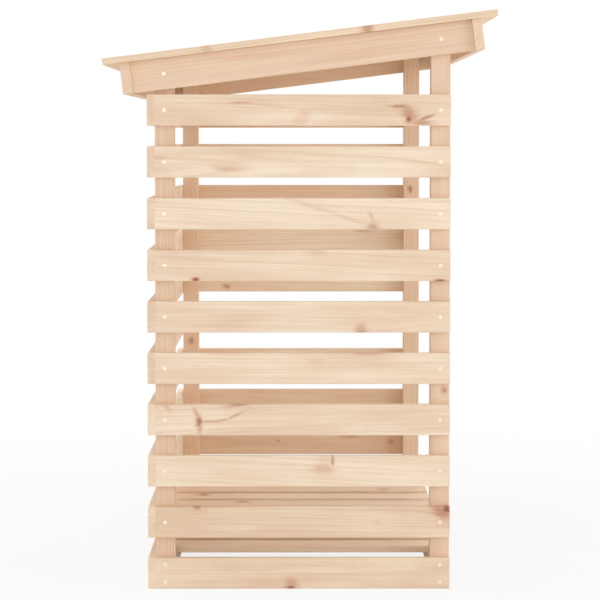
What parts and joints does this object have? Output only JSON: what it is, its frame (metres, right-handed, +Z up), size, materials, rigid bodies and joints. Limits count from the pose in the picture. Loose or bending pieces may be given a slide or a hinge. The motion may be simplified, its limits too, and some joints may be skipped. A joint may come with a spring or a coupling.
{
  "type": "log store",
  "caption": "Small open-fronted slatted softwood store for firewood, with a raised board floor and a single-pitch board roof.",
  "frame": {"origin": "on the ground, under the middle of the roof's length and depth", "axes": "+Z up; the open front and the roof's high edge face -Y; +X to the right as seen from the front"},
  "size_m": [1.08, 0.73, 1.08],
  "materials": {
    "slat_pine": "planed, unpainted pale pine",
    "frame_pine": "planed, unpainted pale pine",
    "roof_pine": "planed, unpainted pale pine",
    "floor_pine": "planed, unpainted pale pine"
  },
  "bodies": {
    "root": {"post_front_left": "frame_pine", "post_front_right": "frame_pine", "post_back_left": "frame_pine", "post_back_right": "frame_pine", "left_slat_01": "slat_pine", "left_slat_02": "slat_pine", "left_slat_03": "slat_pine", "left_slat_04": "slat_pine", "left_slat_05": "slat_pine", "left_slat_06": "slat_pine", "left_slat_07": "slat_pine", "left_slat_08": "slat_pine", "left_slat_09": "slat_pine", "left_slat_10": "slat_pine", "right_slat_01": "slat_pine", "right_slat_02": "slat_pine", "right_slat_03": "slat_pine", "right_slat_04": "slat_pine", "right_slat_05": "slat_pine", "right_slat_06": "slat_pine", "right_slat_07": "slat_pine", "right_slat_08": "slat_pine", "right_slat_09": "slat_pine", "right_slat_10": "slat_pine", "back_slat_01": "slat_pine", "back_slat_02": "slat_pine", "back_slat_03": "slat_pine", "back_slat_04": "slat_pine", "back_slat_05": "slat_pine", "back_slat_06": "slat_pine", "back_slat_07": "slat_pine", "back_slat_08": "slat_pine", "back_slat_09": "slat_pine", "back_slat_10": "slat_pine", "floor_bearer_front": "frame_pine", "floor_bearer_back": "frame_pine", "floor_boards": "floor_pine", "rafter_left": "frame_pine", "rafter_right": "frame_pine", "roof_rail_front": "frame_pine", "roof_rail_back": "frame_pine", "roof_boards": "roof_pine"}
  },
  "joints": []
}
